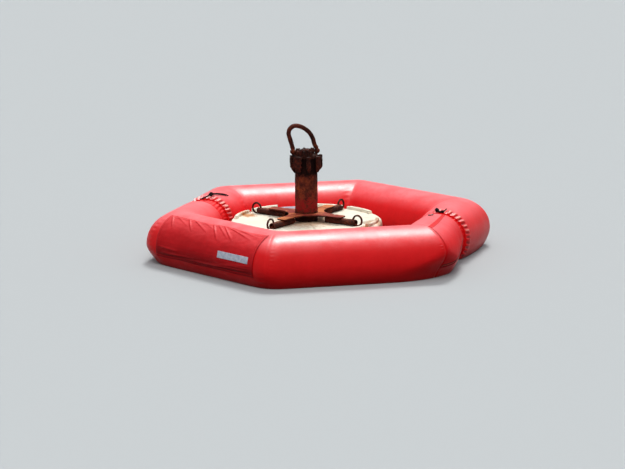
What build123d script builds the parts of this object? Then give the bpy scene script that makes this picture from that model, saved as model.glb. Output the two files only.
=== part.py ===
from build123d import *

import os
from collections import namedtuple
from math import atan2, cos, degrees, radians, sin, tan

os.makedirs("parts", exist_ok=True)

# Turning mark buoy: a six-sided inflated ring laced from two sections, afloat round a steel and
# polyethylene mooring buoy. Millimetres. The origin is on the mooring buoy's axis at the waterline,
# +X runs along the ring's front side and +Z is up.

# Inflated ring
ring_center = (126, -30)
ring_side = 1385
tube_radius = 300
tube_level = 176
side_heading = 60
taper_start = 230
end_rounding = 9
neck_inset = 34
Lacing = namedtuple("Lacing", "corner near_end near_radius far_end far_radius")
lacings = (
    Lacing(corner=300, near_end=590, near_radius=248, far_end=765, far_radius=272),
    Lacing(corner=180, near_end=605, near_radius=250, far_end=870, far_radius=250),
)

# Gathers of the laced ends
gather_count = 60
gather_length = 46
gather_drop = 20
gather_groove = 7.5

# Panels on the ring
panel_thickness = 2
banner_range = (-15, 70)
banner_span = (20, 1395)
cover_range = (102, 180)
label_range = (7.5, 19.5)
label_span = (905, 1322)

# Valve on the right-hand tube
valve_reach = 480
valve_radius = 26
valve_height = 10
valve_lean = 8
valve_rounding = 3

# Ties on top of the lacings: a knot on each and its free tails
# Points and knots by reach along the laced side, distance to its left and level
Tie = namedtuple("Tie", "name corner rod points")
ties = (
    Tie(
        name="right_tie",
        corner=300,
        rod=6,
        points=((726, 38, 479), (690, 18, 469), (645, -15, 474), (606, -54, 488), (597, -82, 519)),
    ),
    Tie(
        name="left_tie",
        corner=180,
        rod=6,
        points=((872, -36, 492), (930, -56, 486), (985, -85, 475), (1020, -112, 464), (1050, -142, 450)),
    ),
    Tie(
        name="left_tail",
        corner=180,
        rod=4,
        points=((846, -20, 486), (815, 3, 474), (765, 25, 464), (700, 30, 468), (640, 12, 485)),
    ),
)
arc_share = 0.45
knot_radius = 18
knots = ((300, (735, 44, 476)), (180, (858, -30, 488)))

# Float
float_radius = 755
float_top = 328
float_depth = 500
rim_radius = 728
rim_width = 34
rim_height = 30
lip_gap = 350
side_level = 120
keel_chamfer = (110, 90)
quarter_gap = 4
scallop_radius = 62
scallop_depth = 75
deck_rounding = 9
side_rounding = 25

# Deck cross and arms
arm_count = 4
arm_turn = 42
arm_reach = 578
pipe_radius = 32
pipe_wall = 6
pipe_inner_end = 230
plate_thickness = 15
plate_reach = 430
plate_width = 112
plate_throat = 240
plate_corner = 30
eye_radius = 49
eye_rod = 6.5
eye_overhang = 16
eye_air = 1

# Post and head
post_radius = 219.1 / 2
post_wall = 10
post_float_air = 4
post_top = 950
rib_count = 8
rib_radius = 158
rib_thickness = 24
rib_base = 790
rib_top = 965
rib_chamfer = (43, 60)
lid_thickness = 16
cap_radius = 67
cap_top = 1025
cap_rounding = 12

# Lifting bail
pin_level = 1003
pin_radius = 15
pin_overhang = 10
bail_rod = 21
bail_feet = (-128, 106)
foot_radius = 27
foot_width = 34
foot_seat = 24
bail_knee = (-168, 160)
bail_crown = (-88, 249)
bail_shoulder = (76, 88)
pivot_air = 0.5

# Keel
keel_plate_thickness = 20
flange_radius = 170
flange_thickness = 25
lug_width = 150
lug_thickness = 40
lug_drop = 105
lug_bore = 27

# Levels that follow
pipe_level = float_top + pipe_radius
plate_base = float_top + 2 * pipe_radius
eye_level = float_top + eye_radius + eye_rod + eye_air
keel_plate_base = -float_depth - keel_plate_thickness
flange_base = keel_plate_base - flange_thickness
lug_bore_level = flange_base - lug_drop
seam_turn = arm_turn + 180 / arm_count
heading = (cos(radians(side_heading)), sin(radians(side_heading)))


def ring_corner(angle):
    x = ring_center[0] + ring_side * cos(radians(angle))
    y = ring_center[1] + ring_side * sin(radians(angle))
    return x, y, tube_level


def on_side(corner_angle, reach):
    x, y, z = ring_corner(corner_angle)
    return x + reach * heading[0], y + reach * heading[1], z


# Plane across a laced side, x to the left and y up, with the tops of all its circles level
def side_plane(corner_angle, reach, radius):
    x, y, z = on_side(corner_angle, reach)
    return Plane(
        origin=(x, y, z + tube_radius - radius),
        x_dir=(-heading[1], heading[0], 0),
        z_dir=(heading[0], heading[1], 0),
    )


# Tapered end of a tube, from a round section of full size down to its laced end
def tapered_end(corner_angle, start, end, end_radius, grow=0):
    with BuildPart(mode=Mode.PRIVATE) as tapered:
        with BuildSketch(side_plane(corner_angle, start, tube_radius)):
            Circle(tube_radius + grow)
        with BuildSketch(side_plane(corner_angle, end, end_radius)):
            Circle(end_radius + grow)
        loft()
    return tapered.part


# Rims of a section's two laced ends
def end_edges(section):
    return section.faces().filter_by(GeomType.PLANE).edges()


with BuildPart() as near_section:
    with BuildLine() as near_path:
        Polyline(
            on_side(180, taper_start),
            ring_corner(180),
            ring_corner(240),
            ring_corner(300),
            on_side(300, taper_start),
        )
    with BuildSketch(Plane(origin=near_path.line @ 0, z_dir=near_path.line % 0)):
        Circle(tube_radius)
    sweep(transition=Transition.RIGHT)
    for lacing in lacings:
        add(tapered_end(lacing.corner, taper_start, lacing.near_end, lacing.near_radius))
    fillet(end_edges(near_section), end_rounding)
near_section.part.label = "near_section"
export_step(near_section.part, "parts/near_section.step")

far_taper = ring_side - taper_start
with BuildPart() as far_section:
    with BuildLine() as far_path:
        Polyline(
            on_side(300, far_taper),
            ring_corner(0),
            ring_corner(60),
            ring_corner(120),
            on_side(180, far_taper),
        )
    with BuildSketch(Plane(origin=far_path.line @ 0, z_dir=far_path.line % 0)):
        Circle(tube_radius)
    sweep(transition=Transition.RIGHT)
    for lacing in lacings:
        add(tapered_end(lacing.corner, far_taper, lacing.far_end, lacing.far_radius))
    fillet(end_edges(far_section), end_rounding)
far_section.part.label = "far_section"
export_step(far_section.part, "parts/far_section.step")

with BuildPart() as neck_bands:
    for lacing in lacings:
        collar_start = lacing.far_end - gather_length
        with BuildSketch(side_plane(lacing.corner, lacing.near_end, lacing.near_radius)):
            Circle(lacing.near_radius - neck_inset)
        with BuildSketch(side_plane(lacing.corner, collar_start, lacing.far_radius)):
            Circle(lacing.far_radius - neck_inset)
        loft()
neck_bands.part.label = "neck_bands"
export_step(neck_bands.part, "parts/neck_bands.step")

# Gathered collars: the far tube's end, drawn down onto the neck in even puckers
gather_slope = atan2(gather_drop, gather_length)
groove_length = 3 * gather_length
with BuildPart() as gathered_collars:
    for lacing in lacings:
        far_plane = side_plane(lacing.corner, lacing.far_end, lacing.far_radius)
        with BuildSketch(far_plane):
            Circle(lacing.far_radius)
        with BuildSketch(far_plane.offset(-gather_length)):
            Circle(lacing.far_radius - gather_drop)
        loft()
        with Locations(far_plane.offset(-gather_length / 2)):
            with PolarLocations(lacing.far_radius - gather_drop / 2, gather_count):
                Cylinder(
                    gather_groove,
                    groove_length,
                    rotation=(0, degrees(gather_slope), 0),
                    mode=Mode.SUBTRACT,
                )
gathered_collars.part.label = "gathered_collars"
export_step(gathered_collars.part, "parts/gathered_collars.step")


# Wedge between two angles up from the side that a plane's x points to
def wedge(low, high):
    reach = 2 * tube_radius
    with BuildSketch(mode=Mode.PRIVATE) as sector:
        with BuildLine():
            Polyline(
                (0, 0),
                *[(reach * cos(radians(a)), reach * sin(radians(a))) for a in (low, high)],
                close=True,
            )
        make_face()
    return sector.sketch


# Strip of a thin shell on the front left tube, between two places along it
def banner_strip(angles, span, inner):
    x, y, z = ring_corner(180)
    along = (cos(radians(-side_heading)), sin(radians(-side_heading)))
    strip_plane = Plane(
        origin=(x + span[1] * along[0], y + span[1] * along[1], z),
        x_dir=(along[1], -along[0], 0),
        z_dir=(-along[0], -along[1], 0),
    )
    with BuildPart(mode=Mode.PRIVATE) as strip:
        with BuildSketch(strip_plane):
            Circle(inner + panel_thickness)
            Circle(inner, mode=Mode.SUBTRACT)
            add(wedge(*angles), mode=Mode.INTERSECT)
        extrude(amount=span[1] - span[0])
    return strip.part


with BuildPart() as banner_wrap:
    add(banner_strip(banner_range, banner_span, tube_radius))
banner_wrap.part.label = "banner_wrap"
export_step(banner_wrap.part, "parts/banner_wrap.step")

with BuildPart() as blank_label:
    add(banner_strip(label_range, label_span, tube_radius + panel_thickness))
blank_label.part.label = "blank_label"
export_step(blank_label.part, "parts/blank_label.step")

# Cover panel on the right-hand tube, from the mitred corner to the laced end
covered = lacings[0]
mitre = Plane(
    origin=ring_corner(covered.corner),
    x_dir=(0, 0, 1),
    z_dir=(-sin(radians(covered.corner)), cos(radians(covered.corner)), 0),
)
with BuildPart() as cover_panel:
    for grow, mode in ((panel_thickness, Mode.ADD), (0, Mode.SUBTRACT)):
        with BuildSketch(side_plane(covered.corner, -tube_radius, tube_radius)):
            Circle(tube_radius + grow)
        extrude(amount=tube_radius + taper_start, mode=mode)
        end = (taper_start, covered.near_end, covered.near_radius)
        add(tapered_end(covered.corner, *end, grow=grow), mode=mode)
    with BuildSketch(side_plane(covered.corner, -tube_radius, tube_radius)):
        add(wedge(*cover_range))
    extrude(amount=tube_radius + covered.near_end, mode=Mode.INTERSECT)
    split(bisect_by=mitre, keep=Keep.TOP)
cover_panel.part.label = "cover_panel"
export_step(cover_panel.part, "parts/cover_panel.step")

# Ties and their knots
def tie_point(corner, point):
    reach, left, level = point
    x, y, z = on_side(corner, reach)
    return Vector(x - left * heading[1], y + left * heading[0], level)


def tie_radii(path):
    radii = []
    for before, middle, after in zip(path, path[1:], path[2:]):
        turn = (middle - before).get_angle(after - middle)
        shorter = min((middle - before).length, (after - middle).length)
        radii.append(arc_share * shorter / tan(radians(turn / 2)))
    return radii


tie_parts = []
for tie in ties:
    path = [tie_point(tie.corner, point) for point in tie.points]
    radii = tie_radii(path)
    print(tie.name, "radii", [round(radius) for radius in radii])
    with BuildPart() as tie_tube:
        with BuildLine() as tie_path:
            FilletPolyline(*path, radius=radii)
        with BuildSketch(Plane(origin=tie_path.line @ 0, z_dir=tie_path.line % 0)):
            Circle(tie.rod)
        sweep()
    length = sum(edge.length for edge in tie_path.edges())
    print(tie.name, "length", round(length), "volume", round(tie_tube.part.volume))
    tie_tube.part.label = tie.name
    export_step(tie_tube.part, f"parts/{tie.name}.step")
    tie_parts.append(tie_tube.part)

with BuildPart() as tie_knots:
    for corner, point in knots:
        with Locations(tie_point(corner, point)):
            Sphere(knot_radius)
    for neighbour in (gathered_collars.part, far_section.part, *tie_parts):
        add(neighbour, mode=Mode.SUBTRACT)
tie_knots.part.label = "tie_knots"
export_step(tie_knots.part, "parts/tie_knots.step")

# Valve: a low disc on top of the covered tube, towards the float
valve_seat = side_plane(covered.corner, valve_reach, tube_radius)
valve_up = valve_seat.y_dir * cos(radians(valve_lean)) + valve_seat.x_dir * sin(radians(valve_lean))
with BuildPart() as inflation_valve:
    with BuildSketch(Plane(valve_seat.origin, z_dir=valve_up).offset(tube_radius)):
        Circle(valve_radius)
    extrude(amount=valve_height)
    extrude(inflation_valve.faces().sort_by(Axis.Z)[0], amount=2 * valve_height)
    rim = inflation_valve.edges().filter_by(GeomType.CIRCLE).sort_by(Axis.Z)[-1]
    fillet(rim, valve_rounding)
    end = (taper_start, covered.near_end, covered.near_radius)
    add(tapered_end(covered.corner, *end), mode=Mode.SUBTRACT)
inflation_valve.part.label = "inflation_valve"
export_step(inflation_valve.part, "parts/inflation_valve.step")

# Float: one turned body cut into quarters, each with a raised lip and a scallop where its arm ends
with BuildPart() as float_quarters:
    with BuildSketch(Plane.XZ):
        with BuildLine():
            Polyline(
                (post_radius + post_float_air, float_top),
                (rim_radius, float_top),
                (float_radius, side_level),
                (float_radius, keel_chamfer[1] - float_depth),
                (float_radius - keel_chamfer[0], -float_depth),
                (post_radius + post_float_air, -float_depth),
                close=True,
            )
        body_face = make_face()
        outer = body_face.vertices().sort_by(Axis.X)[2:]
        fillet(outer, side_rounding)
    revolve(axis=Axis.Z)
    with BuildSketch(Plane.XZ):
        with Locations((rim_radius - rim_width / 2 - side_rounding, float_top + rim_height / 2)):
            Rectangle(rim_width, rim_height)
        lip_top = faces().vertices().group_by(Axis.Y)[-1]
        fillet(lip_top, deck_rounding)
    revolve(axis=Axis.Z)
    with BuildSketch(Plane.XY.offset(float_top)):
        with PolarLocations(rim_radius, arm_count, start_angle=seam_turn):
            Rectangle(6 * rim_width, lip_gap)
    extrude(amount=rim_height, mode=Mode.SUBTRACT)
    with BuildSketch(Plane.XY.offset(float_top + rim_height)):
        with PolarLocations(rim_radius, arm_count, start_angle=arm_turn):
            Circle(scallop_radius)
    extrude(amount=-scallop_depth, mode=Mode.SUBTRACT)
    with BuildSketch(Plane.XY.offset(-float_depth)):
        for turn in (seam_turn, seam_turn + 90):
            Rectangle(3 * float_radius, quarter_gap, rotation=turn)
    extrude(amount=float_depth + float_top + rim_height, mode=Mode.SUBTRACT)
float_quarters.part.label = "float_quarters"
export_step(float_quarters.part, "parts/float_quarters.step")


# Four-armed plate with wide curved throats, on the deck and again under the keel
def cross_sketch():
    with BuildSketch(mode=Mode.PRIVATE) as cross:
        for turn in (arm_turn, arm_turn + 90):
            Rectangle(2 * plate_reach, plate_width, rotation=turn)
        corners = cross.vertices().sort_by_distance((0, 0))
        fillet(corners[:arm_count], plate_throat)
        tips = cross.vertices().sort_by_distance((0, 0))[-2 * arm_count :]
        fillet(tips, plate_corner)
        Circle(post_radius, mode=Mode.SUBTRACT)
    return cross.sketch


cross_plates = (
    # name, underside level, thickness
    ("deck_cross", plate_base, plate_thickness),
    ("keel_cross", keel_plate_base, keel_plate_thickness),
)
for cross_name, level, thickness in cross_plates:
    with BuildPart() as cross_plate:
        with BuildSketch(Plane.XY.offset(level)):
            add(cross_sketch())
        extrude(amount=thickness)
    cross_plate.part.label = cross_name
    export_step(cross_plate.part, f"parts/{cross_name}.step")

pipe_length = arm_reach - pipe_inner_end
with BuildPart(Plane.XY.offset(pipe_level)) as arm_pipes:
    with PolarLocations((arm_reach + pipe_inner_end) / 2, arm_count, start_angle=arm_turn):
        Cylinder(pipe_radius, pipe_length, rotation=(0, 90, 0))
        Cylinder(pipe_radius - pipe_wall, pipe_length, rotation=(0, 90, 0), mode=Mode.SUBTRACT)
    with Locations((0, 0, eye_level - pipe_level)):
        with PolarLocations(arm_reach + eye_overhang, arm_count, start_angle=arm_turn):
            Torus(eye_radius, eye_rod, rotation=(90, 0, 0), mode=Mode.SUBTRACT)
arm_pipes.part.label = "arm_pipes"
export_step(arm_pipes.part, "parts/arm_pipes.step")

with BuildPart(Plane.XY.offset(eye_level)) as mooring_eyes:
    with PolarLocations(arm_reach + eye_overhang, arm_count, start_angle=arm_turn):
        Torus(eye_radius, eye_rod, rotation=(90, 0, 0))
mooring_eyes.part.label = "mooring_eyes"
export_step(mooring_eyes.part, "parts/mooring_eyes.step")

# Post: one pipe from the keel flange to the head
with BuildPart() as post:
    with BuildSketch(Plane.XY.offset(flange_base)):
        Circle(post_radius)
        Circle(post_radius - post_wall, mode=Mode.SUBTRACT)
    extrude(amount=post_top - flange_base)
post.part.label = "post"
export_step(post.part, "parts/post.step")

with BuildPart() as head_ribs:
    for rib in range(rib_count):
        turn = arm_turn + (rib + 0.5) * 360 / rib_count
        with BuildSketch(Plane.XZ.rotated((0, 0, turn + 180 / rib_count))):
            with BuildLine():
                Polyline(
                    (post_radius - post_wall, rib_base),
                    (rib_radius - rib_chamfer[0], rib_base),
                    (rib_radius, rib_base + rib_chamfer[1]),
                    (rib_radius, rib_top),
                    (post_radius - post_wall, rib_top),
                    close=True,
                )
            make_face()
        extrude(amount=rib_thickness / 2, both=True)
    with BuildSketch(Plane.XY.offset(rib_base)):
        Circle(post_radius)
    extrude(amount=rib_top - rib_base, mode=Mode.SUBTRACT)
head_ribs.part.label = "head_ribs"
export_step(head_ribs.part, "parts/head_ribs.step")

with BuildPart() as head_cap:
    with BuildSketch(Plane.XY.offset(post_top)):
        Circle(post_radius)
    extrude(amount=lid_thickness)
    with BuildSketch(Plane.XY.offset(post_top)):
        Circle(cap_radius)
    extrude(amount=cap_top - post_top)
    fillet(head_cap.edges().filter_by(GeomType.CIRCLE).sort_by(Axis.Z)[-1], cap_rounding)
    with BuildSketch(Plane.YZ):
        with Locations((0, pin_level)):
            Circle(pin_radius)
    extrude(amount=cap_radius, both=True, mode=Mode.SUBTRACT)
head_cap.part.label = "head_cap"
export_step(head_cap.part, "parts/head_cap.step")

pin_start = bail_feet[0] - foot_width / 2 - pin_overhang
pin_end = bail_feet[1] + foot_width / 2 + pin_overhang
with BuildPart() as bail_pin:
    with BuildSketch(Plane.YZ.offset(pin_start)):
        with Locations((0, pin_level)):
            Circle(pin_radius)
    extrude(amount=pin_end - pin_start)
bail_pin.part.label = "bail_pin"
export_step(bail_pin.part, "parts/bail_pin.step")

# Bail: a bent bar with an eye at each foot, leaning to the left as it does on the real buoy
with BuildPart() as bail:
    with BuildLine(Plane.XZ) as bail_path:
        left_leg = Line(
            (bail_feet[0], pin_level + foot_seat),
            (bail_knee[0], pin_level + bail_knee[1]),
        )
        left_bend = TangentArc(
            left_leg @ 1, (bail_crown[0], pin_level + bail_crown[1]), tangent=left_leg % 1
        )
        right_bend = TangentArc(
            left_bend @ 1, (bail_shoulder[0], pin_level + bail_shoulder[1]), tangent=left_bend % 1
        )
        TangentArc(
            right_bend @ 1, (bail_feet[1], pin_level + foot_seat), tangent=right_bend % 1
        )
    with BuildSketch(Plane(origin=bail_path.line @ 0, z_dir=bail_path.line % 0)):
        Circle(bail_rod)
    sweep()
    for foot in bail_feet:
        with BuildSketch(Plane.YZ.offset(foot)):
            with Locations((0, pin_level)):
                Circle(foot_radius)
        extrude(amount=foot_width / 2, both=True)
    with BuildSketch(Plane.YZ.offset(pin_start)):
        with Locations((0, pin_level)):
            Circle(pin_radius + pivot_air)
    extrude(amount=pin_end - pin_start, mode=Mode.SUBTRACT)
bail.part.label = "bail"
export_step(bail.part, "parts/bail.step")

# Keel: the flange that holds the float up to the deck cross, and the lug for the ground chain
with BuildPart() as keel_flange:
    with BuildSketch(Plane.XY.offset(flange_base)):
        Circle(flange_radius)
        Circle(post_radius, mode=Mode.SUBTRACT)
    extrude(amount=flange_thickness)
keel_flange.part.label = "keel_flange"
export_step(keel_flange.part, "parts/keel_flange.step")

with BuildPart() as chain_lug:
    with BuildSketch(Plane.XZ):
        with Locations((0, lug_bore_level)):
            Circle(lug_width / 2)
        with Locations((0, (flange_base + lug_bore_level) / 2)):
            Rectangle(lug_width, lug_drop)
        with Locations((0, lug_bore_level)):
            Circle(lug_bore, mode=Mode.SUBTRACT)
    extrude(amount=lug_thickness / 2, both=True)
    with BuildSketch(Plane.XY.offset(flange_base)):
        Circle(flange_radius)
    extrude(amount=-flange_thickness)
chain_lug.part.label = "chain_lug"
export_step(chain_lug.part, "parts/chain_lug.step")
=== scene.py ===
import random
from math import atan2, cos, degrees, exp, hypot, pi, radians, sin, sqrt, tan

import bmesh
import bpy
from mathutils import Matrix, Vector, noise


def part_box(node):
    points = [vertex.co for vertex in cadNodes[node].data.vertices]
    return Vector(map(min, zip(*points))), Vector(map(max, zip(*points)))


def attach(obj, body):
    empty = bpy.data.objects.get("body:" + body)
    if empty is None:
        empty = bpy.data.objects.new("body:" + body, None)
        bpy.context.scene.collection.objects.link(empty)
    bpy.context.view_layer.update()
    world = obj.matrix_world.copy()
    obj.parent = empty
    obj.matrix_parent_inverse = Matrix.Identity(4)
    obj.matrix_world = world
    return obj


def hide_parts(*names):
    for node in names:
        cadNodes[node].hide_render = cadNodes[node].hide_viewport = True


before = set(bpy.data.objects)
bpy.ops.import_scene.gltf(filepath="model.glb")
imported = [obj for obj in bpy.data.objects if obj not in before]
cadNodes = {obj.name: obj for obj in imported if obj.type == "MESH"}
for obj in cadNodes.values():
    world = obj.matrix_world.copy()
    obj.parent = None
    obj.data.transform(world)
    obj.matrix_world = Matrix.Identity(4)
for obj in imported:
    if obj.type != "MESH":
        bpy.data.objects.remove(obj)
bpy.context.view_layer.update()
scene = bpy.context.scene
random.seed(11)
print("frame loaded")

# Shared sizes, in metres, as the CAD source has them

ring = {
    "centre": (0.126, -0.030),
    "side": 1.385,
    "tube": 0.300,
    "level": 0.176,
    "girth": 1.885,
    "taperStart": 0.230,
    "taperSwell": 0.004,
    "endRounding": 0.009,
    "endDrops": (0.025, 0.036, 0.11),  # rows down an end's flat face
    "waves": (0.0016, 2.2, 1.4),  # height, and how close along and round
    # how far each corner is rounded off along its sides: on top, outside, at the waterline, and
    # the sines of the angles between which it grows towards the waterline
    "cornerSoftness": {
        180: (0.08, 0.15, 0.32, 0.0, 0.59),
        240: (0.09, 0.14, 0.20, 0.0, 0.59),
        300: (0.03, 0.10, 0.58, -0.42, 0.50),
        0: (0.05, 0.055, 0.11, 0.0, 0.59),
        60: (0.05, 0.06, 0.12, 0.0, 0.59),
        120: (0.06, 0.08, 0.14, 0.0, 0.59),
    },
    "neckInset": 0.034,
    # the near section's laced ends are domed
    "dome": {"along": 0.055, "drop": 0.024},
}
lacings = {
    "right": {"corner": 300, "nearEnd": 0.590, "nearRadius": 0.248, "farEnd": 0.765, "farRadius": 0.272},
    "left": {"corner": 180, "nearEnd": 0.605, "nearRadius": 0.250, "farEnd": 0.870, "farRadius": 0.250},
}
laceHeading = Vector((cos(radians(60)), sin(radians(60)), 0))
laceLeft = Vector((-laceHeading.y, laceHeading.x, 0))

# Camera, at the photograph's place

cameraSettings = {
    "target": (0.126, -0.030, 0.0),
    "azimuth": -13.31,
    "elevation": 12.09,
    "distance": 22.18,
    "roll": 0.265,
    "lens": 131.55,
    "shift": (-0.012, 0.0294),
    "clipEnd": 500,
}


def buildCamera():
    azimuth, elevation = radians(cameraSettings["azimuth"]), radians(cameraSettings["elevation"])
    back = Vector((sin(azimuth) * cos(elevation), -cos(azimuth) * cos(elevation), sin(elevation)))
    right = Vector((cos(azimuth), sin(azimuth), 0))
    turned = Matrix((right, back.cross(right), back)).transposed()
    turned = turned @ Matrix.Rotation(radians(-cameraSettings["roll"]), 3, "Z")
    data = bpy.data.cameras.new("camera")
    data.lens = cameraSettings["lens"]
    data.shift_x, data.shift_y = cameraSettings["shift"]
    data.clip_end = cameraSettings["clipEnd"]
    camera = bpy.data.objects.new("camera", data)
    camera.matrix_world = turned.to_4x4()
    camera.location = Vector(cameraSettings["target"]) + back * cameraSettings["distance"]
    scene.collection.objects.link(camera)
    scene.camera = camera


buildCamera()
scene.view_settings.view_transform = "Standard"

# Helpers for shader nodes: they work in the tree of the material or group that was started last,
# and an input takes a value or another node's socket

current = {}


def fill(node, inputs):
    for name, value in inputs.items():
        if isinstance(value, bpy.types.NodeSocket):
            node.id_data.links.new(value, node.inputs[name])
        else:
            node.inputs[name].default_value = value


def addNode(kind, inputs=None, **settings):
    node = current["tree"].nodes.new("ShaderNode" + kind)
    for name, value in settings.items():
        setattr(node, name, value)
    fill(node, inputs or {})
    return node


def newMaterial(name):
    material = bpy.data.materials.new(name)
    material.use_nodes = True
    current["tree"] = material.node_tree
    return material, material.node_tree.nodes["Principled BSDF"]


def newGroup(name, inputs, *outputs):
    tree = current["tree"] = bpy.data.node_groups.new(name, "ShaderNodeTree")
    for label, value in {"Vector": (0, 0, 0), **inputs}.items():
        kind = "NodeSocketVector" if isinstance(value, tuple) else "NodeSocketFloat"
        tree.interface.new_socket(name=label, in_out="INPUT", socket_type=kind).default_value = value
    for label in outputs:
        kind = "NodeSocketColor" if label == "Colour" else "NodeSocketFloat"
        tree.interface.new_socket(name=label, in_out="OUTPUT", socket_type=kind)
    given = tree.nodes.new("NodeGroupInput").outputs
    return tree, given, tree.nodes.new("NodeGroupOutput"), given["Vector"]


def grouped(group, place, **inputs):
    # the group's first output
    return addNode("Group", {"Vector": place, **inputs}, node_tree=group).outputs[0]


def vectorMaths(operation, inputs):
    return addNode("VectorMath", inputs, operation=operation).outputs


def mixColour(factor, first, second):
    inputs = {0: factor, 6: first, 7: second}
    return addNode("Mix", inputs, data_type="RGBA", clamp_factor=True).outputs[2]


def maths(operation, *values, clamp=False):
    node = addNode("Math", dict(enumerate(values)), operation=operation, use_clamp=clamp)
    return node.outputs[0]


def times(first, second):
    return maths("MULTIPLY", first, second)


def tint(colour, mask, strength, second):
    # a second colour over the first one where the mask is
    return mixColour(times(mask, strength), colour, second)


def noiseValue(vector, scale, detail=3.0, rough=0.55):
    inputs = {"Vector": vector, "Scale": scale, "Detail": detail, "Roughness": rough}
    return addNode("TexNoise", inputs).outputs["Fac"]


def between(value, low, high):
    inputs = {"Value": value, "From Min": low, "From Max": high}
    node = addNode("MapRange", inputs, clamp=True, interpolation_type="SMOOTHSTEP")
    return node.outputs["Result"]


def bands(vector, scale, distortion, direction):
    inputs = {"Vector": vector, "Scale": scale, "Distortion": distortion, "Detail": 1.0}
    return addNode("TexWave", inputs, bands_direction=direction).outputs["Fac"]


def bumped(height, distance, strength, **under):
    inputs = {"Height": height, "Distance": distance, "Strength": strength, **under}
    return addNode("Bump", inputs).outputs["Normal"]


def levelOf(vector):
    return addNode("SeparateXYZ", {"Vector": vector}).outputs["Z"]


def facingUp():
    return levelOf(addNode("NewGeometry").outputs["Normal"])


def objectPlace():
    return addNode("TexCoord").outputs["Object"]


def surfacePlace():
    return addNode("UVMap", uv_map="surface").outputs["UV"]


# Floor, world and lamps

stage = {
    "floorRadius": 160,
    "floorColour": (0.42, 0.445, 0.46, 1),
    "floorRoughness": 0.85,
    "bounceColour": (0.06, 0.065, 0.07, 1),
    "worldColour": (0.95, 0.97, 1.0, 1),
    "worldStrength": 0.52,
    "sunColour": (1.0, 0.985, 0.955),
    # name, direction, strength, angle, lights matt surfaces too
    "suns": (
        ("key", (0.20, 0.49, 0.848), 2.3, 18, True),
        ("fill", (-0.10, -0.50, 0.86), 1.20, 35, True),
        ("gloss", (0.12, 0.25, 0.96), 11.0, 14, False),
    ),
}


def buildStage():
    bm = bmesh.new()
    bmesh.ops.create_circle(bm, cap_ends=True, segments=96, radius=stage["floorRadius"])
    mesh = bpy.data.meshes.new("floor")
    bm.to_mesh(mesh)
    bm.free()
    floor = bpy.data.objects.new("floor", mesh)
    scene.collection.objects.link(floor)
    material, shader = newMaterial("floor")
    rays = addNode("LightPath").outputs
    seen = maths("MAXIMUM", rays["Is Camera Ray"], rays["Is Glossy Ray"])
    colour = mixColour(seen, stage["bounceColour"], stage["floorColour"])
    fill(shader, {"Base Color": colour, "Roughness": stage["floorRoughness"], "Specular IOR Level": 0.0})
    mesh.materials.append(material)

    world = bpy.data.worlds.new("studio")
    world.use_nodes = True
    background = {"Color": stage["worldColour"], "Strength": stage["worldStrength"]}
    fill(world.node_tree.nodes["Background"], background)
    scene.world = world

    for name, direction, strength, angle, matt in stage["suns"]:
        sunData = bpy.data.lights.new(name, "SUN")
        sunData.energy = strength
        sunData.angle = radians(angle)
        sunData.color = stage["sunColour"]
        sun = bpy.data.objects.new(name, sunData)
        sun.rotation_euler = Vector(direction).to_track_quat("Z", "Y").to_euler()
        sun.visible_diffuse = matt
        scene.collection.objects.link(sun)


buildStage()

# Materials: small node groups for repeated effects, then one material for each finish

print("materials")

# slow colour change, coarse and fine together
mottle, given, result, place = newGroup("mottle", {"Scale": 3.0}, "Value")
coarse = noiseValue(place, given["Scale"], 4.0)
fine = noiseValue(place, times(given["Scale"], 6.3), 5.0, 0.65)
both = maths("ADD", times(coarse, 0.65), times(fine, 0.35))
fill(result, {"Value": between(both, 0.36, 0.64)})

# one below a ragged level, nought above it
sockets = {"Level": 0.0, "Softness": 0.02, "Ragged": 0.03}
tideMark, given, result, place = newGroup("tide_mark", sockets, "Mask")
ragged = maths("SUBTRACT", noiseValue(place, 9.0, 5.0, 0.6), 0.5)
level = maths("MULTIPLY_ADD", ragged, given["Ragged"], given["Level"])
under = maths("DIVIDE", maths("SUBTRACT", level, levelOf(place)), given["Softness"])
fill(result, {"Mask": maths("ADD", under, 0.5, clamp=True)})

# runs of dirt or rust down a surface
streaks, given, result, place = newGroup("streaks", {"Scale": 20.0, "Amount": 0.4}, "Mask")
squeezed = addNode("Mapping", {"Vector": place, "Scale": (1.0, 1.0, 0.09)}).outputs[0]
runs = noiseValue(squeezed, given["Scale"], 4.0, 0.6)
least = maths("SUBTRACT", 0.78, times(given["Amount"], 0.4))
edge = maths("SUBTRACT", runs, least)
fill(result, {"Mask": maths("MULTIPLY", edge, 7.0, clamp=True)})

# a ragged spot round a point
spot, given, result, place = newGroup("spot", {"Centre": (0, 0, 0), "Reach": 0.1, "Ragged": 0.6}, "Mask")
gap = vectorMaths("DISTANCE", {0: place, 1: given["Centre"]})["Value"]
torn = maths("SUBTRACT", noiseValue(place, 28.0, 5.0, 0.65), 0.5)
share = maths("MULTIPLY_ADD", torn, times(given["Ragged"], 2.0), maths("DIVIDE", gap, given["Reach"]))
fill(result, {"Mask": between(share, 1.0, 0.35)})

# base cloth of a coated fabric showing through, from the piece's own UV in metres
weave, given, result, place = newGroup("weave", {}, "Height")
fill(result, {"Height": times(bands(place, 160.0, 0.6, "X"), bands(place, 160.0, 0.6, "Y"))})

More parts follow.
